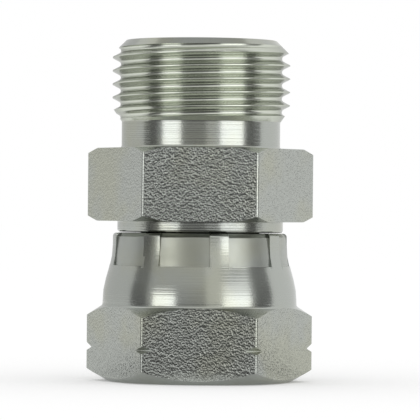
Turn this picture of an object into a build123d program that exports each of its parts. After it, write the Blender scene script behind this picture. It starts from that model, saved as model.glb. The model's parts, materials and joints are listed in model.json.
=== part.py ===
from build123d import *
import os
from math import atan2, hypot, radians, tan

# Straight hydraulic adapter: a turned steel body with a male cone-end thread at the top and
# a loose swivel nut crimped on to its nose at the bottom.
# Millimetres, +Z up. The origin is on the axis, in the plane of the nut's open face, and a
# flat of each hexagon faces -Y. Each thread is a plain cylinder at the diameter of its crests,
# and edges that are broken by less than 0.3 mm are sharp.

# Both hexagons, which take the same spanner
hex_across_flats = 22.0

# Body, hexagon and collar
body_hex_length = 8.15
body_hex_face_margin = 0.65
body_hex_chamfer_angle = 30.0
collar_diameter = 18.6
collar_thickness = 1.2

# Body, male end for a 12 mm tube with a 24 degree cone
male_end_length = 12.15
male_thread_diameter = 19.95
male_thread_chamfer = 1.53
undercut_diameter = 17.8
undercut_width = 3.0
undercut_exit_angle = 35.0
cone_length = 5.13
cone_angle = 24.0
tube_socket_diameter = 12.12
tube_socket_depth = 7.5
bore_diameter = 8.0

# Body, swivel nose with a 60 degree cone and the bead that holds the nut
nose_tip_wall = 0.8
nose_angle = 60.0
bead_height = 1.2
bead_width = 0.5
groove_diameter = 13.2
groove_length = 1.5

# Nut, hexagon
nut_length = 16.6
nut_face_width = 1.8
nut_face_chamfer_angle = 30.0
nut_shoulder_height = 7.3
nut_shoulder_angle = 33.0
nut_mark_height = 3.74
nut_mark_depth = 0.63
nut_mark_lower_flank = 0.42
nut_mark_upper_flank = 0.6

# Nut, crimped neck
neck_root_wall = 2.3
neck_root_length = 1.73
neck_end_wall = 1.73
neck_end_length = 2.6
neck_end_chamfer = 0.4
neck_bend_reach = 1.31
bend_share = 0.48
jaw_count = 8
jaw_angle = 33.0
jaw_clocking = 260.2
jaw_height = 3.6
jaw_depth = 0.23
jaw_draft = 5.0

# Nut, female pipe thread and the room behind it
nut_thread_minor_diameter = 14.95
nut_thread_length = 7.7
nut_mouth_chamfer = 1.025
relief_depth = 1.125
relief_bend_length = 3.05

# Swivel clearances
swivel_end_gap = 0.1
swivel_seat_gap = 0.25
swivel_radial_gap = 0.2
bead_radial_gap = 0.3

# Radii that several profiles share
corner_radius = hex_across_flats / 3**0.5
collar_radius = collar_diameter / 2
crest_radius = male_thread_diameter / 2
undercut_radius = undercut_diameter / 2
tube_radius = tube_socket_diameter / 2
cone_mouth_radius = tube_radius + cone_length * tan(radians(cone_angle / 2))
bore_radius = bore_diameter / 2
nose_tip_radius = bore_radius + nose_tip_wall
groove_radius = groove_diameter / 2
bead_radius = groove_radius + bead_height
lip_radius = groove_radius + swivel_radial_gap
pocket_radius = bead_radius + bead_radial_gap
nut_crest_radius = nut_thread_minor_diameter / 2
nut_mouth_radius = nut_crest_radius + nut_mouth_chamfer
nut_face_radius = nut_mouth_radius + nut_face_width
relief_radius = nut_crest_radius + relief_depth
neck_root = relief_radius + neck_root_wall
neck_end = pocket_radius + neck_end_wall

# Heights up the body
collar_bottom = nut_length + swivel_end_gap
hex_bottom = collar_bottom + collar_thickness
hex_top = hex_bottom + body_hex_length
undercut_top = hex_top + undercut_width
body_top = hex_top + male_end_length
hex_face_radius = hex_across_flats / 2 + body_hex_face_margin
hex_chamfer_height = (corner_radius - hex_face_radius) * tan(radians(body_hex_chamfer_angle))
undercut_exit_height = (crest_radius - undercut_radius) / tan(radians(undercut_exit_angle))
tube_stop = body_top - tube_socket_depth
bead_back = collar_bottom - groove_length
bead_top = bead_back - bead_height
bead_bottom = bead_top - bead_width
nose_tip = bead_bottom - (bead_radius - nose_tip_radius) / tan(radians(nose_angle / 2))

# Heights up the nut
face_chamfer_height = (corner_radius - nut_face_radius) * tan(radians(nut_face_chamfer_angle))
shoulder_top = nut_shoulder_height + (corner_radius - neck_root) * tan(radians(nut_shoulder_angle))
lip_seat = bead_top + swivel_seat_gap
relief_bend_start = lip_seat - relief_bend_length
jaw_bottom = nut_length - jaw_height
neck_bend_start = shoulder_top + neck_root_length
neck_bend_end = nut_length - neck_end_length

# The neck tapers between two bends, whose arcs reach no further than half the taper
taper_width = abs(neck_root - neck_end)
taper_height = neck_bend_end - neck_bend_start
bend_reach = min(neck_bend_reach, bend_share * hypot(taper_width, taper_height))
neck_bend_radius = bend_reach / tan(atan2(taper_width, taper_height) / 2)


def closed_profile(*corners):
    """Draw a closed outline through corners given as (radius, height, rounding)."""
    FilletPolyline(
        *[(radius, height) for radius, height, rounding in corners],
        radius=[rounding for radius, height, rounding in corners],
        close=True,
    )


def hexagon_waste(across_flats, outer_radius):
    """The sketch of what is milled off a round blank to leave a hexagon."""
    Circle(2 * outer_radius)
    RegularPolygon(across_flats / 2, 6, major_radius=False, mode=Mode.SUBTRACT)


# One jaw of the crimping tool, as the sector of metal that it pushes out of the way
with BuildPart() as crimp_jaw:
    jaw_back = 2 * neck_end
    jaw_end = neck_end - jaw_depth
    jaw_start = jaw_end + jaw_height * tan(radians(jaw_draft))
    with BuildSketch(Plane.XZ.rotated((0, 0, -jaw_angle / 2))):
        with BuildLine():
            closed_profile(
                (jaw_back, jaw_bottom, 0),
                (jaw_start, jaw_bottom, 0),
                (jaw_end, nut_length - neck_end_chamfer, 0),
                (jaw_end - 2 * neck_end_chamfer, nut_length + neck_end_chamfer, 0),
                (jaw_back, nut_length + neck_end_chamfer, 0),
            )
        make_face()
    revolve(axis=Axis.Z, revolution_arc=jaw_angle)

# Turned body: male end, wrench hexagon, collar, and the nose that the nut swivels on
with BuildPart() as adapter_body:
    with BuildSketch(Plane.XZ) as body_section:
        with BuildLine():
            closed_profile(
                (bore_radius, nose_tip, 0),
                (nose_tip_radius, nose_tip, 0),
                (bead_radius, bead_bottom, 0),
                (bead_radius, bead_top, 0),
                (groove_radius, bead_back, 0),
                (groove_radius, collar_bottom, 0),
                (collar_radius, collar_bottom, 0),
                (collar_radius, hex_bottom, 0),
                (hex_face_radius, hex_bottom, 0),
                (corner_radius, hex_bottom + hex_chamfer_height, 0),
                (corner_radius, hex_top - hex_chamfer_height, 0),
                (hex_face_radius, hex_top, 0),
                (undercut_radius, hex_top, 0),
                (undercut_radius, undercut_top, 0),
                (crest_radius, undercut_top + undercut_exit_height, 0),
                (crest_radius, body_top - male_thread_chamfer, 0),
                (crest_radius - male_thread_chamfer, body_top, 0),
                (cone_mouth_radius, body_top, 0),
                (tube_radius, body_top - cone_length, 0),
                (tube_radius, tube_stop, 0),
                (bore_radius, tube_stop, 0),
            )
        make_face()
    revolve(axis=Axis.Z)
    with BuildSketch(Plane.XY.offset(hex_bottom)):
        hexagon_waste(hex_across_flats, corner_radius)
    extrude(amount=body_hex_length, mode=Mode.SUBTRACT)

# Swivel nut: pipe thread, wrench hexagon with a turned mark, and a neck crimped behind the bead
with BuildPart() as swivel_nut:
    with BuildSketch(Plane.XZ) as nut_section:
        with BuildLine():
            closed_profile(
                (nut_mouth_radius, 0, 0),
                (nut_face_radius, 0, 0),
                (corner_radius, face_chamfer_height, 0),
                (corner_radius, nut_mark_height - nut_mark_lower_flank, 0),
                (corner_radius - nut_mark_depth, nut_mark_height, 0),
                (corner_radius, nut_mark_height + nut_mark_upper_flank, 0),
                (corner_radius, nut_shoulder_height, 0),
                (neck_root, shoulder_top, 0),
                (neck_root, neck_bend_start, neck_bend_radius),
                (neck_end, neck_bend_end, neck_bend_radius),
                (neck_end, nut_length - neck_end_chamfer, 0),
                (neck_end - neck_end_chamfer, nut_length, 0),
                (lip_radius, nut_length, 0),
                (lip_radius, lip_seat + pocket_radius - lip_radius, 0),
                (pocket_radius, lip_seat, 0),
                (relief_radius, relief_bend_start, 0),
                (relief_radius, nut_thread_length, 0),
                (nut_crest_radius, nut_thread_length, 0),
                (nut_crest_radius, nut_mouth_chamfer, 0),
            )
        make_face()
    revolve(axis=Axis.Z)
    with BuildSketch(Plane.XY):
        hexagon_waste(hex_across_flats, corner_radius)
    extrude(amount=shoulder_top, mode=Mode.SUBTRACT)
    with PolarLocations(0, jaw_count, start_angle=jaw_clocking):
        add(crimp_jaw.part, mode=Mode.SUBTRACT)

os.makedirs("parts", exist_ok=True)
for name, piece in (("adapter_body", adapter_body), ("swivel_nut", swivel_nut)):
    piece.part.label = name
    export_step(piece.part, f"parts/{name}.step")
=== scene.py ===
"""Looks of a straight hydraulic adapter: a threaded body and the swivel nut crimped on to it.

The solid model is loaded as a fixed frame. Both of its pieces are modelled again here, with
their threads, their small roundings and their finish, at the size and place of the frame.
"""

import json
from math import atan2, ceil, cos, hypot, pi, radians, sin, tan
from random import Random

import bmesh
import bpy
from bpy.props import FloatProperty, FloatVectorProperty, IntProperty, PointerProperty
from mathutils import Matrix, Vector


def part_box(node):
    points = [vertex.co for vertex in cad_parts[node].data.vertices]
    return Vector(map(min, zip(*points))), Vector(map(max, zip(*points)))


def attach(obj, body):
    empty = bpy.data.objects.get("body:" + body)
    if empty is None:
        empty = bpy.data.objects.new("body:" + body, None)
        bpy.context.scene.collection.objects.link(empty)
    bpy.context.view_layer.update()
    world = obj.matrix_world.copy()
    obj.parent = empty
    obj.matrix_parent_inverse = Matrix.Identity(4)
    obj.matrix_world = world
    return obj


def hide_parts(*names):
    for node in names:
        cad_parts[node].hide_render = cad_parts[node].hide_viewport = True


bl_info = {
    "name": "Hydraulic adapter",
    "version": (1, 0, 0),
    "blender": (4, 5, 0),
    "location": "3D View > Sidebar > Adapter",
    "description": "Models a threaded adapter body, its crimped swivel nut and a studio for them",
    "category": "Add Mesh",
}

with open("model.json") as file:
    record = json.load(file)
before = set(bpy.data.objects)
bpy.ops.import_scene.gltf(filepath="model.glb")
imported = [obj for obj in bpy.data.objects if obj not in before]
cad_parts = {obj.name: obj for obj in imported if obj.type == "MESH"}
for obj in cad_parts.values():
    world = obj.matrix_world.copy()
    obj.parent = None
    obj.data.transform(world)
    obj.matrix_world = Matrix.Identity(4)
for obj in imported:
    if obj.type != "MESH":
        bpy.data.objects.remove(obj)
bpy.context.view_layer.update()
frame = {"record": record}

# Lengths are properties in metres. Blender's modelling tools are too coarse for a part this
# small, so pieces are modelled in millimetres on a bench and scaled down when they are done.
MM = 0.001

# Steps of a full turn and of one jaw mark, and the most that one step of a rounded corner may turn
TURN_STEPS = 192
JAW_STEPS = 12
ARC_STEP = radians(18)

# Faces that meet at less than this angle are shaded as one
SMOOTH_LIMIT = radians(24)

# On the bench, in millimetres: what counts as nothing, and how far a tool reaches past its cut
NEAR = 0.01
REACH = 1.0

body_low, body_high = (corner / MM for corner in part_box("adapter_body"))
nut_low, nut_high = (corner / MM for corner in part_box("swivel_nut"))
mounts = {mount["name"]: mount["dims"] for mount in frame["record"]["mounts"]}
corner_radius = body_high.x
flat_radius = body_high.y


def length(name, description, default_mm):
    """A property that holds a length in metres, given in millimetres."""
    default = default_mm * MM
    return FloatProperty(name=name, description=description, default=default, unit="LENGTH", precision=6)


def angle(name, description, degrees):
    """A property that holds an angle, given in degrees."""
    return FloatProperty(name=name, description=description, default=radians(degrees), subtype="ANGLE")


def colour(name, description, default):
    """A property that holds a colour."""
    return FloatVectorProperty(name=name, description=description, default=default, subtype="COLOR")


def number(name, description, default):
    """A property that holds a plain number."""
    return FloatProperty(name=name, description=description, default=default)


class BodySizes(bpy.types.PropertyGroup):
    """Sizes of the turned and milled body."""

    hex_length: length("Hexagon length", "Height of the body's hexagon", 8.15)
    hex_face_margin: length("Hexagon face margin", "How far its round end faces reach past the flats", 0.65)
    hex_chamfer: angle("Hexagon chamfer", "Slope of the chamfer on the hexagon's corners", 30)
    collar_radius: length("Collar radius", "Radius of the collar under the hexagon", 9.3)
    collar_thickness: length("Collar thickness", "Height of the collar", 1.2)
    collar_gap: length("Collar gap", "Gap between the collar and the nut's end", 0.1)
    undercut_radius: length("Undercut radius", "Radius of the undercut behind the thread", 8.9)
    undercut_width: length("Undercut width", "Height of the undercut's straight part", 3.0)
    undercut_exit: angle("Undercut exit", "Slope that leads out of the undercut, from the axis", 35)
    thread_chamfer: length("Thread chamfer", "Chamfer on the thread's first turn", 1.53)
    thread_pitch: length("Thread pitch", "Rise of the male thread in one turn", 1.5)
    thread_depth: length("Thread depth", "Depth of the male thread", 0.92)
    thread_root: length("Thread root rounding", "Radius at the bottom of the male thread", 0.36)
    thread_crest: length("Thread crest rounding", "Radius at the edges of the male thread's crest", 0.06)
    thread_half_angle: angle("Thread half angle", "Half the angle between the male thread's flanks", 27)
    thread_height: length("Thread crest height", "Height of one crest on the +X side", 35.475)
    cone_length: length("Cone length", "Depth of the 24 degree cone", 5.13)
    cone_mouth_radius: length("Cone mouth radius", "Radius of the cone at the end face", 7.15)
    socket_depth: length("Tube socket depth", "Depth from the end face to the tube's stop", 7.5)
    bore_radius: length("Bore radius", "Radius of the flow bore", 4.0)
    nose_tip_radius: length("Nose tip radius", "Outer radius of the nose at its tip", 4.8)
    bead_height: length("Bead height", "How far the bead stands out of the groove behind it", 1.2)
    bead_width: length("Bead width", "Straight part of the bead", 0.5)
    groove_radius: length("Groove radius", "Radius of the groove that the nut's lip runs in", 6.6)
    groove_length: length("Groove length", "Length of that groove under the collar", 1.5)
    hex_round: length("Hexagon edge rounding", "Rounding between the hexagon's flats", 0.2)
    face_round: length("Face rounding", "Rounding of the hexagon's and the cone's end faces", 0.08)
    inner_round: length("Inner rounding", "Rounding of the steps inside the tube socket", 0.1)
    end_round: length("End rounding", "Rounding between the thread chamfer and the end face", 0.12)
    undercut_round: length("Undercut rounding", "Rounding where the undercut meets the hexagon", 0.35)
    exit_round: length("Undercut exit rounding", "Rounding where the undercut ends", 0.15)
    collar_round: length("Collar rounding", "Rounding of the collar's lower edge", 0.28)
    collar_root: length("Collar root rounding", "Rounding between the collar and the hexagon", 0.12)
    groove_round: length("Groove rounding", "Rounding between the bead's back and the groove", 0.3)
    tip_round: length("Tip rounding", "Rounding of the nose's tip and of the groove's end", 0.2)
    bead_front: length("Bead front rounding", "Rounding between the nose cone and the bead", 0.3)
    bead_rear: length("Bead rear rounding", "Rounding of the bead's rear edge", 0.15)


class NutSizes(bpy.types.PropertyGroup):
    """Sizes of the swivel nut."""

    face_width: length("Face width", "Width of the flat ring at the open end", 1.8)
    face_chamfer: angle("Face chamfer", "Slope of the chamfer at the open end", 30)
    shoulder_height: length("Shoulder height", "Where the hexagon's corners end", 7.3)
    shoulder_slope: angle("Shoulder slope", "Slope of the shoulder above the hexagon", 33)
    mark_height: length("Mark height", "Height of the turned mark on the corners", 3.74)
    mark_depth: length("Mark depth", "Depth of the turned mark", 0.63)
    mark_lower: length("Mark lower flank", "Height of the mark's lower flank", 0.42)
    mark_upper: length("Mark upper flank", "Height of the mark's upper flank", 0.6)
    neck_root_radius: length("Neck root radius", "Radius of the neck above the shoulder", 10.9)
    neck_root_length: length("Neck root length", "Straight part of the neck above the shoulder", 1.73)
    neck_end_radius: length("Neck end radius", "Radius of the neck at its crimped end", 9.83)
    neck_end_length: length("Neck end length", "Straight part of the neck at its end", 2.6)
    neck_end_round: length("Neck end rounding", "Rounding of the crimped end", 0.4)
    bend_radius: length("Neck bend radius", "Radius of the neck's two bends", 9.48)
    jaw_height: length("Jaw height", "Height of the marks that the crimping jaws left", 3.6)
    jaw_depth: length("Jaw depth", "Depth of the jaw marks at the end", 0.23)
    jaw_draft: angle("Jaw draft", "Slope of the jaws' faces", 5)
    jaw_width: angle("Jaw width", "Angle that one jaw mark spans", 33)
    jaw_turn: angle("Jaw turn", "Where the first jaw mark's middle lies", 260.2)
    jaw_count: IntProperty(name="Jaws", description="Number of crimping jaws", default=8, min=1)
    thread_pitch: length("Thread pitch", "Rise of the female thread in one turn", 1.337)
    thread_root: length("Thread root rounding", "Radius at the bottom of the female thread", 0.184)
    thread_apex: length("Thread apex", "Radius at which its flanks would meet", 8.545)
    thread_length: length("Thread length", "Depth of the threaded hole", 7.7)
    mouth_chamfer: length("Mouth chamfer", "Chamfer at the mouth of the threaded hole", 1.025)
    relief_depth: length("Relief depth", "Depth of the room behind the thread", 1.125)
    relief_bend: length("Relief bend", "Height over which that room narrows to the bead", 3.05)
    seat_gap: length("Seat gap", "Gap above the bead", 0.25)
    lip_gap: length("Lip gap", "Gap between the lip and the groove", 0.2)
    bead_gap: length("Bead gap", "Gap around the bead", 0.3)
    thread_half_angle: angle("Thread half angle", "Half the angle between the female thread's flanks", 27.5)
    tap_core: length("Tap core", "How far the tap's core is inside the thread's crests", 0.17)
    tap_overrun: length("Tap overrun", "How far the tap reaches past the threaded hole", 0.3)
    hex_round: length("Hexagon edge rounding", "Rounding between the hexagon's flats", 0.2)
    face_round: length("Face rounding", "Rounding of the open face's outer edge", 0.15)
    mark_round: length("Mark rounding", "Rounding at the bottom of the turned mark", 0.1)
    root_round: length("Neck root rounding", "Rounding between the shoulder and the neck", 0.4)
    lip_round: length("Lip rounding", "Rounding of the lip's outer edge", 0.2)
    inner_round: length("Inner rounding", "Rounding of the edges inside the nut", 0.1)
    relief_round: length("Relief rounding", "Rounding where the room behind the thread narrows", 0.5)
    jaw_round: length("Jaw rounding", "Rounding of a jaw's upper edge", 0.2)
    jaw_turn_error: angle("Jaw turn error", "How far a jaw mark may be off its place around the neck", 0.8)
    jaw_height_error: length("Jaw height error", "How far a jaw mark may be off its height", 0.06)


class SteelFinish(bpy.types.PropertyGroup):
    """Colour and grain of the zinc-plated steel."""

    zinc: colour("Zinc", "Colour of the bright plating", (0.412, 0.432, 0.402))
    yellow_tint: colour("Tint", "Colour of the faint yellow-green cast", (0.418, 0.43, 0.362))
    # The thread's colour is lighter than the rest of the plating
    rolled_zinc: colour("Rolled zinc", "Colour of the burnished thread", (0.63, 0.66, 0.58))
    milled_grain: length("Milled grain", "Size of the grain on the hexagons' flats", 0.19)
    milled_depth: length("Milled depth", "Depth of that grain", 0.05)
    milled_roughness: number("Milled roughness", "Roughness of the hexagons' flats", 0.22)
    turned_lines: length("Turning lines", "Distance between the turning lines", 0.17)
    turned_depth: length("Turned depth", "Depth of the turning lines", 0.014)
    turned_roughness: number("Turned roughness", "Roughness of the turned faces", 0.18)
    rolled_depth: length("Rolled depth", "Depth of the grain on the male thread", 0.005)
    rolled_roughness: number("Rolled roughness", "Roughness of the male thread", 0.2)
    pressed_depth: length("Pressed depth", "Depth of the grain in the jaw marks", 0.02)
    pressed_roughness: number("Pressed roughness", "Roughness of the jaw marks where they are clean", 0.34)
    stained_roughness: number("Stained roughness", "Roughness of the jaw marks where they are stained", 0.4)
    plate_edge: number("Plate edge tint", "Brightness of the plating at a grazing angle", 0.88)
    thread_edge: number("Thread edge tint", "Brightness of the male thread at a grazing angle", 0.6)


class StudioLook(bpy.types.PropertyGroup):
    """Camera, light and floor."""

    camera_distance: length("Camera distance", "From the camera to the part's axis", 400)
    camera_height: length("Camera height", "Height of the camera above the floor", 19.2)
    camera_offset: length("Camera offset", "How far the camera stands to the right of the axis", 1.09)
    camera_roll: angle("Camera roll", "Turn of the picture, clockwise", 0.5)
    field_width: length("Field width", "Width of the picture at the part's axis", 47.2)
    backdrop: number("Backdrop", "Brightness of the white surroundings", 1.0)
    floor_colour: colour("Floor", "Colour of the floor", (0.8, 0.8, 0.8))
    floor_glow: number("Floor glow", "What is added to the floor where the camera or the metal sees it", 0.2)
    floor_size: length("Floor size", "Side of the square floor", 6000)
    floor_gap: length("Floor gap", "How far the floor lies under the nut's face", 0.02)


class Bench:
    """Reads a group of lengths in millimetres."""

    def __init__(self, sizes):
        self.sizes = sizes

    def __getattr__(self, name):
        return getattr(self.sizes, name) / MM


def outline(corners, closed=True):
    """Points of an outline through corners of (radius, height, rounding), with its arcs divided."""
    places = [Vector(corner[:2]) for corner in corners]
    points = []
    for index, (place, corner) in enumerate(zip(places, corners)):
        at_end = not closed and index in (0, len(corners) - 1)
        if at_end or corner[2] == 0:
            points.append(place)
            continue
        before = (places[index - 1] - place).normalized()
        after = (places[(index + 1) % len(places)] - place).normalized()
        half = before.angle(after) / 2
        centre = place + (before + after).normalized() * corner[2] / sin(half)
        start = (place + before * corner[2] / tan(half) - centre).normalized()
        end = (place + after * corner[2] / tan(half) - centre).normalized()
        steps = max(2, ceil((pi - 2 * half) / ARC_STEP))
        points += [centre + start.slerp(end, step / steps) * corner[2] for step in range(steps + 1)]
    return points


def edit(piece):
    """Enter edit mode on one piece with nothing selected."""
    if bpy.context.object and bpy.context.object.mode != "OBJECT":
        bpy.ops.object.mode_set(mode="OBJECT")
    bpy.ops.object.select_all(action="DESELECT")
    piece.select_set(True)
    bpy.context.view_layer.objects.active = piece
    bpy.ops.object.mode_set(mode="EDIT")
    bpy.ops.mesh.select_all(action="DESELECT")


def leave_edit():
    bpy.ops.object.mode_set(mode="OBJECT")


def add_wire(name, points, closed=True):
    """Add a wire through (radius, height) points in the XZ plane, from a circle of as many vertices."""
    bpy.ops.object.select_all(action="DESELECT")
    bpy.ops.mesh.primitive_circle_add(vertices=len(points), fill_type="NOTHING")
    piece = bpy.context.object
    piece.name = name
    piece.data.name = name
    for vertex, point in zip(piece.data.vertices, points):
        vertex.co = (point.x, 0, point.y)
    if not closed:
        last = len(points) - 1
        edit(piece)
        wire = bmesh.from_edit_mesh(piece.data)
        for edge in wire.edges:
            edge.select_set({vertex.index for vertex in edge.verts} == {0, last})
        bmesh.update_edit_mesh(piece.data)
        bpy.ops.mesh.delete(type="EDGE_FACE")
        leave_edit()
    return piece


def clean(piece):
    """Merge doubled points and turn every face outwards."""
    edit(piece)
    bpy.ops.mesh.select_all(action="SELECT")
    bpy.ops.mesh.remove_doubles(threshold=0.001)
    bpy.ops.mesh.dissolve_degenerate(threshold=0.0005)
    bpy.ops.mesh.select_all(action="SELECT")
    bpy.ops.mesh.normals_make_consistent(inside=False)
    leave_edit()


def spin(piece, turn, steps):
    """Sweep all of a piece about the Z axis, anticlockwise seen from above."""
    edit(piece)
    bpy.ops.mesh.select_all(action="SELECT")
    bpy.ops.mesh.spin(steps=steps, angle=turn, center=(0, 0, 0), axis=(0, 0, -1))
    leave_edit()


def turn_on_lathe(name, corners):
    """Spin a closed outline about the axis."""
    piece = add_wire(name, outline(corners))
    spin(piece, 2 * pi, TURN_STEPS)
    clean(piece)
    return piece


def use_modifier(piece, kind, **settings):
    """Add a modifier to a piece and apply it."""
    bpy.ops.object.select_all(action="DESELECT")
    piece.select_set(True)
    bpy.context.view_layer.objects.active = piece
    modifier = piece.modifiers.new(kind.title(), kind)
    for name, value in settings.items():
        setattr(modifier, name, value)
    bpy.ops.object.modifier_apply(modifier=modifier.name)


def cut(piece, tool):
    """Cut a tool's shape out of a piece and put the tool away."""
    use_modifier(piece, "BOOLEAN", operation="DIFFERENCE", solver="EXACT", object=tool)
    bpy.data.objects.remove(tool)


def add_cylinder(name, radius, bottom, top, sides=TURN_STEPS, turn=0.0):
    """Add a closed cylinder or prism between two heights."""
    bpy.ops.object.select_all(action="DESELECT")
    bpy.ops.mesh.primitive_cylinder_add(
        vertices=sides,
        radius=radius,
        depth=top - bottom,
        location=(0, 0, (top + bottom) / 2),
        rotation=(0, 0, turn),
    )
    bpy.ops.object.transform_apply(location=True, rotation=True)
    piece = bpy.context.object
    piece.name = name
    return piece


def select_edges(piece, test):
    """Select the edges of a piece in edit mode that pass a test."""
    bpy.ops.mesh.select_mode(type="EDGE")
    mesh = bmesh.from_edit_mesh(piece.data)
    for edge in mesh.edges:
        if len(edge.link_faces) == 2 and test(edge):
            edge.select_set(True)
    bmesh.update_edit_mesh(piece.data)


def is_upright(edge):
    start, end = (vertex.co for vertex in edge.verts)
    return hypot(start.x - end.x, start.y - end.y) < NEAR < abs(start.z - end.z)


def is_flat(face):
    """Whether a face, of a mesh in or out of edit mode, is one of a hexagon's milled flats."""
    centre = face.calc_center_median() if hasattr(face, "calc_center_median") else face.center
    return abs(face.normal.z) < NEAR and abs(centre.dot(face.normal) - flat_radius) < NEAR


def is_rim(edge):
    """Whether an edge lies between a flat and a turned face."""
    return is_flat(edge.link_faces[0]) != is_flat(edge.link_faces[1]) and not is_upright(edge)


def mill_hexagon(piece, bottom, top, edge_round):
    """Mill a hexagon with a flat towards -Y, and break its edges."""
    waste = add_cylinder("milling_waste", 2 * corner_radius, bottom, top)
    prism = add_cylinder("hexagon", corner_radius, bottom - REACH, top + REACH, sides=6, turn=radians(30))
    edit(prism)
    select_edges(prism, is_upright)
    bpy.ops.mesh.bevel(offset=edge_round, segments=3, profile=0.5, affect="EDGES")
    leave_edit()
    cut(waste, prism)
    cut(piece, waste)
    clean(piece)
    edit(piece)
    select_edges(piece, is_rim)
    rim_round = edge_round / 2
    bpy.ops.mesh.bevel(offset=rim_round, segments=2, profile=0.5, affect="EDGES", clamp_overlap=True)
    leave_edit()


def threaded_rod(
    name, pitch, end_radius, apex_radius, half_angle, apex_round, edge_round, height, bottom, top
):
    """A closed rod with a right-hand thread, whose section runs over one pitch from the middle of
    one flat at end_radius, through the apex of the flanks, to the middle of the next flat. On the
    +X side the middle of a flat is at the given height."""
    flat = pitch - 2 * abs(end_radius - apex_radius) * tan(half_angle)
    section = [
        (end_radius, 0, 0),
        (end_radius, flat / 2, edge_round),
        (apex_radius, pitch / 2, apex_round),
        (end_radius, pitch - flat / 2, edge_round),
        (end_radius, pitch, 0),
    ]
    rod = add_wire(name, outline(section, closed=False), closed=False)
    turns_below = ceil((height - bottom) / pitch) + 2
    turns = turns_below + ceil((top - height) / pitch) + 1
    for vertex in rod.data.vertices:
        vertex.co.z += height - turns_below * pitch
    use_modifier(
        rod,
        "SCREW",
        axis="Z",
        angle=2 * pi,
        screw_offset=pitch,
        iterations=turns,
        steps=TURN_STEPS,
        render_steps=TURN_STEPS,
        use_merge_vertices=True,
        merge_threshold=0.001,
    )
    edit(rod)
    for plane, side in ((bottom, "clear_inner"), (top, "clear_outer")):
        cutting = {"plane_co": (0, 0, plane), "plane_no": (0, 0, 1), "threshold": 0.0001, side: True}
        bpy.ops.mesh.select_all(action="SELECT")
        bpy.ops.mesh.bisect(use_fill=True, **cutting)
    leave_edit()
    clean(rod)
    return rod


def smooth(piece):
    """Shade round faces smoothly and keep flat ones flat."""
    bpy.ops.object.select_all(action="DESELECT")
    piece.select_set(True)
    bpy.context.view_layer.objects.active = piece
    bpy.ops.object.shade_smooth_by_angle(angle=SMOOTH_LIMIT)
    use_modifier(piece, "WEIGHTED_NORMAL", mode="FACE_AREA", keep_sharp=True)


def set_finishes(piece, finishes, choose):
    """Give each face the finish whose place in the list choose(face) returns."""
    for finish in finishes:
        piece.data.materials.append(finish)
    for face in piece.data.polygons:
        face.material_index = choose(face)


def take_off_bench(piece):
    """Scale a finished piece from millimetres to its real size in metres."""
    bpy.ops.object.select_all(action="DESELECT")
    piece.select_set(True)
    bpy.context.view_layer.objects.active = piece
    piece.scale = (MM, MM, MM)
    bpy.ops.object.transform_apply(location=True, rotation=True, scale=True)


class Signal:
    """A shader socket that takes part in arithmetic."""

    def __init__(self, finish, socket):
        self.finish = finish
        self.socket = socket

    def math(self, operation, *values):
        return self.finish.node("ShaderNodeMath", {"operation": operation}, dict(enumerate(values)))

    def __add__(self, other):
        return self.math("ADD", self, other)

    def __mul__(self, other):
        return self.math("MULTIPLY", self, other)

    __radd__ = __add__
    __rmul__ = __mul__


class Finish:
    """Builds the node tree of a material or of the world."""

    def __init__(self, owner):
        owner.use_nodes = True
        self.tree = owner.node_tree
        self.tree.nodes.clear()

    def node(self, kind, settings=None, inputs=None, output=0):
        """Add a node, set its settings, then its sockets, and return one of its outputs."""
        node = self.tree.nodes.new(kind)
        for name, value in (settings or {}).items():
            setattr(node, name, value)
        for name, value in (inputs or {}).items():
            if isinstance(value, Signal):
                self.tree.links.new(value.socket, node.inputs[name])
            else:
                node.inputs[name].default_value = value
        return Signal(self, node.outputs[output]) if node.outputs else node

    def ramp(self, value, low, high, to_low=0.0, to_high=1.0):
        """Map a value from low..high to another range, smoothly and within it."""
        sockets = {"Value": value, "From Min": low, "From Max": high, "To Min": to_low, "To Max": to_high}
        return self.node("ShaderNodeMapRange", {"interpolation_type": "SMOOTHSTEP"}, sockets)

    def mix(self, factor, first, second):
        """Mix two colours."""
        return self.node("ShaderNodeMix", {"data_type": "RGBA"}, {0: factor, 6: first, 7: second}, output=2)

    def noise(self, place, scale, detail=2.0, roughness=0.5):
        sockets = {"Vector": place, "Scale": scale, "Detail": detail, "Roughness": roughness}
        return self.node("ShaderNodeTexNoise", {"noise_dimensions": "3D"}, sockets)

    def stretched(self, place, scale):
        """The place scaled differently along each axis, for a pattern that runs one way."""
        return self.node("ShaderNodeMapping", {"vector_type": "POINT"}, {"Vector": place, "Scale": scale})

    def place(self):
        return self.node("ShaderNodeTexCoord", output="Object")


def new_steel(name, looks, build):
    """A plated steel material, whose surface is described by build(finish, place, looks)."""
    material = bpy.data.materials.new(name)
    finish = Finish(material)
    surface = build(finish, finish.place(), looks)
    relief = {"Strength": 1.0, "Distance": surface["depth"], "Height": surface["relief"]}
    edge = surface["edge"]
    sockets = {
        "Base Color": surface["colour"],
        "Metallic": 1.0,
        "Roughness": surface["roughness"],
        "Specular Tint": (edge, edge, edge, 1.0),
        "Normal": finish.node("ShaderNodeBump", None, relief),
    }
    steel = finish.node("ShaderNodeBsdfPrincipled", None, sockets)
    finish.node("ShaderNodeOutputMaterial", None, {"Surface": steel})
    return material


def zinc_colour(finish, place, looks):
    """Plating with a faint yellow-green cast that comes and goes over a few millimetres."""
    cast = finish.ramp(finish.noise(place, scale=140.0, detail=3.0), low=0.42, high=0.68)
    return finish.mix(cast, (*looks.zinc, 1.0), (*looks.yellow_tint, 1.0))


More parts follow.
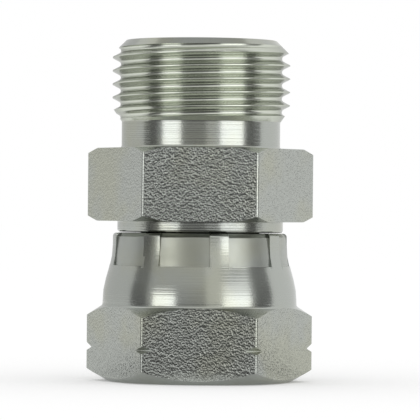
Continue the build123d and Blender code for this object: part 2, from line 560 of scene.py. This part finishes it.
def milled(finish, place, looks):
    """Milled flat with a fine bright grain, a little longer upwards than across."""
    fine = 1 / looks.milled_grain
    upright = 0.75
    cells = {"Vector": finish.stretched(place, (fine, fine, upright * fine)), "Scale": 1.0}
    return {
        "colour": zinc_colour(finish, place, looks),
        "edge": looks.plate_edge,
        "roughness": looks.milled_roughness,
        "relief": finish.node("ShaderNodeTexVoronoi", {"feature": "F1"}, cells),
        "depth": looks.milled_depth,
    }


def turned(finish, place, looks):
    """Turned surface with fine lines around the axis, over a finer grain."""
    fine = 1 / looks.turned_lines
    around = 20.0
    lines = finish.noise(finish.stretched(place, (around, around, fine)), scale=1.0, roughness=0.6)
    grain = finish.noise(place, scale=3600.0)
    line_height, grain_height = 0.9, 0.2
    return {
        "colour": zinc_colour(finish, place, looks),
        "edge": looks.plate_edge,
        "roughness": looks.turned_roughness,
        "relief": lines * line_height + grain * grain_height,
        "depth": looks.turned_depth,
    }


def rolled(finish, place, looks):
    """Thread with a faint grain, in a lighter colour than the rest of the plating."""
    return {
        "colour": (*looks.rolled_zinc, 1.0),
        "edge": looks.thread_edge,
        "roughness": looks.rolled_roughness,
        "relief": finish.noise(place, scale=1500.0),
        "depth": looks.rolled_depth,
    }


def pressed(finish, place, looks):
    """Mark of a crimping jaw, duller than the rest and faintly stained."""
    stain = finish.noise(place, scale=700.0, detail=4.0, roughness=0.65)
    clean_level, stained_level = 0.35, 0.65
    dullness = (looks.pressed_roughness, looks.stained_roughness)
    stain_height = 0.6
    return {
        "colour": zinc_colour(finish, place, looks),
        "edge": looks.plate_edge,
        "roughness": finish.ramp(stain, clean_level, stained_level, *dullness),
        "relief": stain * stain_height,
        "depth": looks.pressed_depth,
    }


class ADAPTER_OT_body(bpy.types.Operator):
    """Turn, mill and thread the adapter body"""

    bl_idname = "adapter.body"
    bl_label = "Adapter body"

    def execute(self, context):
        sizes = Bench(context.scene.adapter_body)
        angles = context.scene.adapter_body
        looks = context.scene.adapter_finish
        crest_radius = mounts["male_thread"]["r_mm"]
        tube_radius = mounts["tube_socket"]["r_mm"]
        # The blank is a little thicker than the crests, so that the die cuts all of its skin
        skin = 0.03
        blank_radius = crest_radius + skin

        collar_bottom = nut_high.z + sizes.collar_gap
        hex_bottom = collar_bottom + sizes.collar_thickness
        hex_top = hex_bottom + sizes.hex_length
        hex_face = flat_radius + sizes.hex_face_margin
        hex_chamfer = (corner_radius - hex_face) * tan(angles.hex_chamfer)
        undercut_top = hex_top + sizes.undercut_width
        exit_height = (blank_radius - sizes.undercut_radius) / tan(angles.undercut_exit)
        top = body_high.z
        chamfer = sizes.thread_chamfer + skin
        bead_back = collar_bottom - sizes.groove_length
        bead_top = bead_back - sizes.bead_height
        bead_bottom = bead_top - sizes.bead_width
        bead_radius = sizes.groove_radius + sizes.bead_height

        body = turn_on_lathe(
            "adapter_body_steel",
            [
                (sizes.bore_radius, body_low.z, sizes.tip_round),
                (sizes.nose_tip_radius, body_low.z, sizes.tip_round),
                (bead_radius, bead_bottom, sizes.bead_front),
                (bead_radius, bead_top, sizes.bead_rear),
                (sizes.groove_radius, bead_back, sizes.groove_round),
                (sizes.groove_radius, collar_bottom, sizes.tip_round),
                (sizes.collar_radius, collar_bottom, sizes.collar_round),
                (sizes.collar_radius, hex_bottom, sizes.collar_root),
                (hex_face, hex_bottom, sizes.face_round),
                (corner_radius, hex_bottom + hex_chamfer, 0),
                (corner_radius, hex_top - hex_chamfer, 0),
                (hex_face, hex_top, sizes.face_round),
                (sizes.undercut_radius, hex_top, sizes.undercut_round),
                (sizes.undercut_radius, undercut_top, sizes.exit_round),
                (blank_radius, undercut_top + exit_height, 0),
                (blank_radius, top - chamfer, 0),
                (blank_radius - chamfer, top, sizes.end_round),
                (sizes.cone_mouth_radius, top, sizes.face_round),
                (tube_radius, top - sizes.cone_length, sizes.inner_round),
                (tube_radius, top - sizes.socket_depth, sizes.inner_round),
                (sizes.bore_radius, top - sizes.socket_depth, sizes.inner_round),
            ],
        )
        past_hexagon = REACH / 2
        mill_hexagon(body, hex_bottom - past_hexagon, hex_top + past_hexagon, sizes.hex_round)

        root_depth = sizes.thread_root * (1 / sin(angles.thread_half_angle) - 1)
        die_bottom = undercut_top - REACH
        rod = threaded_rod(
            "thread",
            pitch=sizes.thread_pitch,
            end_radius=crest_radius,
            apex_radius=crest_radius - sizes.thread_depth - root_depth,
            half_angle=angles.thread_half_angle,
            apex_round=sizes.thread_root,
            edge_round=sizes.thread_crest,
            height=sizes.thread_height,
            bottom=die_bottom - REACH,
            top=top + 2 * REACH,
        )
        die = add_cylinder("thread_die", crest_radius + 2 * REACH, die_bottom, top + REACH)
        cut(die, rod)
        cut(body, die)
        clean(body)

        smooth(body)
        finishes = [new_steel(f"body_{build.__name__}", looks, build) for build in (turned, milled, rolled)]

        # The thread's faces lie further out than the undercut's
        root_radius = sizes.undercut_radius + 5 * NEAR

        def choose(face):
            if is_flat(face):
                return 1
            outside = hypot(face.center.x, face.center.y) > root_radius
            return 2 if outside and face.center.z > undercut_top else 0

        set_finishes(body, finishes, choose)
        take_off_bench(body)
        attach(body, "body")
        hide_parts("adapter_body")
        return {"FINISHED"}


class ADAPTER_OT_nut(bpy.types.Operator):
    """Turn, mill, tap and crimp the swivel nut"""

    bl_idname = "adapter.nut"
    bl_label = "Swivel nut"

    def execute(self, context):
        sizes = Bench(context.scene.adapter_nut)
        angles = context.scene.adapter_nut
        body = Bench(context.scene.adapter_body)
        looks = context.scene.adapter_finish

        crest_radius = mounts["nut_thread"]["r_mm"]
        mouth_radius = crest_radius + sizes.mouth_chamfer
        face_radius = mouth_radius + sizes.face_width
        face_chamfer = (corner_radius - face_radius) * tan(angles.face_chamfer)
        shoulder_width = corner_radius - sizes.neck_root_radius
        shoulder_top = sizes.shoulder_height + shoulder_width * tan(angles.shoulder_slope)
        relief_radius = crest_radius + sizes.relief_depth
        lip_radius = body.groove_radius + sizes.lip_gap
        pocket_radius = body.groove_radius + body.bead_height + sizes.bead_gap
        top = nut_high.z
        lip_seat = top + body.collar_gap - body.groove_length - body.bead_height + sizes.seat_gap

        nut = turn_on_lathe(
            "swivel_nut_steel",
            [
                (mouth_radius, 0, sizes.inner_round),
                (face_radius, 0, sizes.face_round),
                (corner_radius, face_chamfer, 0),
                (corner_radius, sizes.mark_height - sizes.mark_lower, 0),
                (corner_radius - sizes.mark_depth, sizes.mark_height, sizes.mark_round),
                (corner_radius, sizes.mark_height + sizes.mark_upper, 0),
                (corner_radius, sizes.shoulder_height, 0),
                (sizes.neck_root_radius, shoulder_top, sizes.root_round),
                (sizes.neck_root_radius, shoulder_top + sizes.neck_root_length, sizes.bend_radius),
                (sizes.neck_end_radius, top - sizes.neck_end_length, sizes.bend_radius),
                (sizes.neck_end_radius, top, sizes.neck_end_round),
                (lip_radius, top, sizes.lip_round),
                (lip_radius, lip_seat + pocket_radius - lip_radius, sizes.inner_round),
                (pocket_radius, lip_seat, sizes.inner_round),
                (relief_radius, lip_seat - sizes.relief_bend, sizes.relief_round),
                (relief_radius, sizes.thread_length, sizes.inner_round),
                (crest_radius, sizes.thread_length, 0),
                (crest_radius, sizes.mouth_chamfer, 0),
            ],
        )
        mill_hexagon(nut, -REACH, shoulder_top + REACH / 5, sizes.hex_round)
        self.crimp(nut, sizes, angles, top)

        tap = threaded_rod(
            "tap",
            pitch=sizes.thread_pitch,
            end_radius=crest_radius - sizes.tap_core,
            apex_radius=sizes.thread_apex,
            half_angle=angles.thread_half_angle,
            apex_round=sizes.thread_root,
            edge_round=0,
            height=0,
            bottom=-REACH,
            top=sizes.thread_length + sizes.tap_overrun,
        )
        cut(nut, tap)
        clean(nut)

        smooth(nut)
        finishes = [new_steel(f"nut_{build.__name__}", looks, build) for build in (turned, milled, pressed)]
        jaw_bottom = top - sizes.jaw_height

        def choose(face):
            if is_flat(face):
                return 1
            return 2 if face.center.z > jaw_bottom and self.in_jaw(face, angles) else 0

        set_finishes(nut, finishes, choose)
        take_off_bench(nut)
        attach(nut, "nut")
        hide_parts("swivel_nut")
        return {"FINISHED"}

    def in_jaw(self, face, angles):
        """Whether a face of the neck's outside lies in one of the jaw marks."""
        spacing = 2 * pi / angles.jaw_count
        turn = atan2(face.center.y, face.center.x) - angles.jaw_turn
        offset = abs((turn + spacing / 2) % spacing - spacing / 2)
        outside = face.center.x * face.normal.x + face.center.y * face.normal.y > 0
        return outside and offset < angles.jaw_width / 2

    def crimp(self, nut, sizes, angles, top):
        """Press the crimping jaws' marks into the neck."""
        jaw_bottom = top - sizes.jaw_height
        jaw_end = sizes.neck_end_radius - sizes.jaw_depth
        jaw_start = jaw_end + sizes.jaw_height * tan(angles.jaw_draft)
        back = sizes.neck_end_radius + 3 * REACH
        rim = sizes.neck_end_round
        section = [
            (back, jaw_bottom, 0),
            (jaw_start, jaw_bottom, 0),
            (jaw_end, top - rim, sizes.jaw_round),
            (jaw_end - 2 * rim, top + rim, 0),
            (back, top + rim, 0),
        ]
        wedge = add_wire("crimp_jaw", outline(section))
        edit(wedge)
        bpy.ops.mesh.select_all(action="SELECT")
        bpy.ops.mesh.edge_face_add()
        leave_edit()
        spin(wedge, angles.jaw_width, JAW_STEPS)
        clean(wedge)
        irregular = Random(7)
        turn_error = angles.jaw_turn_error
        height_error = sizes.jaw_height_error
        for index in range(angles.jaw_count):
            jaw = bpy.data.objects.new(f"crimp_jaw_{index}", wedge.data.copy())
            bpy.context.scene.collection.objects.link(jaw)
            turn = angles.jaw_turn - angles.jaw_width / 2 + index * 2 * pi / angles.jaw_count
            turn += irregular.uniform(-turn_error, turn_error)
            lift = irregular.uniform(-height_error, height_error)
            jaw.data.transform(Matrix.Translation((0, 0, lift)))
            jaw.data.transform(Matrix.Rotation(turn, 4, "Z"))
            cut(nut, jaw)
        bpy.data.objects.remove(wedge)
        clean(nut)


class ADAPTER_OT_studio(bpy.types.Operator):
    """Set up the camera, the floor, the lamps and the white surroundings"""

    bl_idname = "adapter.studio"
    bl_label = "Studio"

    def execute(self, context):
        look = context.scene.adapter_studio
        self.add_camera(context.scene, look)
        self.add_floor(look)
        self.add_cards()
        self.add_lamps()
        self.set_world(context.scene, look)
        context.scene.view_settings.view_transform = "Standard"
        return {"FINISHED"}

    def add_camera(self, scene, look):
        data = bpy.data.cameras.new("camera")
        data.sensor_width = 36.0
        data.lens = data.sensor_width * look.camera_distance / look.field_width
        camera = bpy.data.objects.new("camera", data)
        camera.location = (look.camera_offset, -look.camera_distance, look.camera_height)
        camera.rotation_euler = (radians(90), -look.camera_roll, 0)
        scene.collection.objects.link(camera)
        scene.camera = camera

    def add_floor(self, look):
        """A pale floor that shows white to the camera and in the metal, and keeps the part's shadow."""
        bpy.ops.object.select_all(action="DESELECT")
        bpy.ops.mesh.primitive_plane_add(size=look.floor_size, location=(0, 0, -look.floor_gap))
        floor = bpy.context.object
        floor.name = "floor"
        material = bpy.data.materials.new("pale_floor")
        finish = Finish(material)
        paint = finish.node("ShaderNodeBsdfDiffuse", None, {"Color": (*look.floor_colour, 1.0)})
        glow = finish.node("ShaderNodeEmission", None, {"Strength": look.floor_glow})
        both = finish.node("ShaderNodeAddShader", None, {0: paint, 1: glow})
        rays = ("Is Camera Ray", "Is Glossy Ray", "Is Transmission Ray")
        camera, glossy, through = (finish.node("ShaderNodeLightPath", output=name) for name in rays)
        shaders = {0: camera + glossy + through, 1: paint, 2: both}
        surface = finish.node("ShaderNodeMixShader", None, shaders)
        finish.node("ShaderNodeOutputMaterial", None, {"Surface": surface})
        floor.data.materials.append(material)

    def add_card(self, name, line, turn_from, turn_to, level, top_level=None):
        """A card that only the metal sees: a line of (radius, height) points spun from one direction
        to another, in degrees to the right of the camera's. It has one level of brightness all
        over, or goes from that level at the floor to another one higher up."""
        steps = 32
        card = add_wire(name, [Vector(point) for point in line], closed=False)
        card.data.transform(Matrix.Rotation(radians(turn_from - 90), 4, "Z"))
        spin(card, radians(turn_to - turn_from), steps)
        material = bpy.data.materials.new(name)
        finish = Finish(material)
        light = {"Strength": level}
        if top_level is not None:
            blend_height = 0.6
            height = finish.node("ShaderNodeSeparateXYZ", None, {0: finish.place()}, output=2)
            light = {"Color": finish.ramp(height, 0.0, blend_height, level, top_level), "Strength": 1.0}
        glow = finish.node("ShaderNodeEmission", None, light)
        finish.node("ShaderNodeOutputMaterial", None, {"Surface": glow})
        card.data.materials.append(material)
        card.visible_camera = False
        card.visible_diffuse = False
        card.visible_shadow = False

    def add_cards(self):
        """What the metal sees besides the white: a dim screen behind the camera that runs out over
        the floor, two gleams on that floor, a bright strip and a glow on the right, a dark flag at
        each side, a veil on the left and a dimmer ceiling."""
        near, far, top = 0.0135, 1.1, 0.85
        lift = 0.0003
        ceiling_height, ceiling_radius = 1.2, 0.8
        inner = 0.95 * far
        ground = [(near, lift), (far / 2, lift), (far, lift)]
        upright = [(far, lift), (far, top / 2), (far, top)]
        strip = [(inner, lift), (inner, top / 2), (inner, top)]
        glow = [(inner, 0.18), (inner, 0.32), (inner, 0.47)]
        ceiling = [(part * ceiling_radius, ceiling_height) for part in (0.001, 0.5, 1.0)]

        dark = 0.1
        self.add_card("ground_left", ground, turn_from=-80, turn_to=-57, level=dark)
        self.add_card("gleam_left", ground, turn_from=-57, turn_to=-29, level=0.7)
        self.add_card("ground", ground, turn_from=-29, turn_to=28, level=dark)
        self.add_card("gleam_right", ground, turn_from=28, turn_to=64, level=0.8)
        self.add_card("ground_right", ground, turn_from=64, turn_to=84, level=dark)
        self.add_card("screen", upright, turn_from=-66, turn_to=70, level=0.44, top_level=0.66)
        self.add_card("strip", strip, turn_from=8, turn_to=28, level=0.9)
        self.add_card("glow_right", glow, turn_from=28, turn_to=64, level=1.45)
        self.add_card("flag_left", upright, turn_from=-90, turn_to=-66, level=0.2, top_level=0.3)
        self.add_card("flag_right", upright, turn_from=70, turn_to=96, level=0.22, top_level=0.32)
        self.add_card("veil_left", upright, turn_from=-175, turn_to=-90, level=0.78)
        self.add_card("ceiling", ceiling, turn_from=0, turn_to=360, level=0.58)

    def add_softbox(self, name, centre, half_width, top, level):
        """An upright area lamp in front of the part, centred so many degrees to the right of the
        camera's direction, with the power at which its face shows at the given level."""
        distance, bottom = 0.8, -0.1
        width = 2 * distance * tan(radians(half_width))
        height = top - bottom
        data = bpy.data.lights.new(name, "AREA")
        data.shape = "RECTANGLE"
        data.size = width
        data.size_y = height
        data.energy = level * pi * width * height
        lamp = bpy.data.objects.new(name, data)
        turn = radians(centre)
        lamp.location = (distance * sin(turn), -distance * cos(turn), (top + bottom) / 2)
        lamp.rotation_euler = (radians(90), 0, turn)
        lamp.visible_camera = False
        bpy.context.scene.collection.objects.link(lamp)

    def add_lamps(self):
        """Two upright softboxes in front, the right one wider and a little brighter."""
        self.add_softbox("softbox_left", centre=-43, half_width=14, top=0.18, level=2.1)
        self.add_softbox("softbox_right", centre=46, half_width=18, top=0.14, level=2.2)

    def set_world(self, scene, look):
        """Plain white surroundings."""
        world = bpy.data.worlds.new("white_studio")
        scene.world = world
        finish = Finish(world)
        white = (1.0, 1.0, 1.0, 1.0)
        background = finish.node("ShaderNodeBackground", None, {"Color": white, "Strength": look.backdrop})
        finish.node("ShaderNodeOutputWorld", None, {"Surface": background})


class ADAPTER_PT_panel(bpy.types.Panel):
    """Buttons that make the adapter"""

    bl_idname = "ADAPTER_PT_panel"
    bl_label = "Hydraulic adapter"
    bl_space_type = "VIEW_3D"
    bl_region_type = "UI"
    bl_category = "Adapter"

    def draw(self, context):
        for operator in OPERATORS:
            self.layout.operator(operator.bl_idname)


OPERATORS = (ADAPTER_OT_body, ADAPTER_OT_nut, ADAPTER_OT_studio)
GROUPS = {
    "adapter_body": BodySizes,
    "adapter_nut": NutSizes,
    "adapter_finish": SteelFinish,
    "adapter_studio": StudioLook,
}


def register():
    for group in GROUPS.values():
        bpy.utils.register_class(group)
    for name, group in GROUPS.items():
        setattr(bpy.types.Scene, name, PointerProperty(type=group))
    for item in (*OPERATORS, ADAPTER_PT_panel):
        bpy.utils.register_class(item)


def unregister():
    for item in (ADAPTER_PT_panel, *OPERATORS):
        bpy.utils.unregister_class(item)
    for name in GROUPS:
        delattr(bpy.types.Scene, name)
    for group in GROUPS.values():
        bpy.utils.unregister_class(group)


def main():
    register()
    bpy.ops.adapter.body()
    bpy.ops.adapter.nut()
    bpy.ops.adapter.studio()


if __name__ == "__main__":
    main()
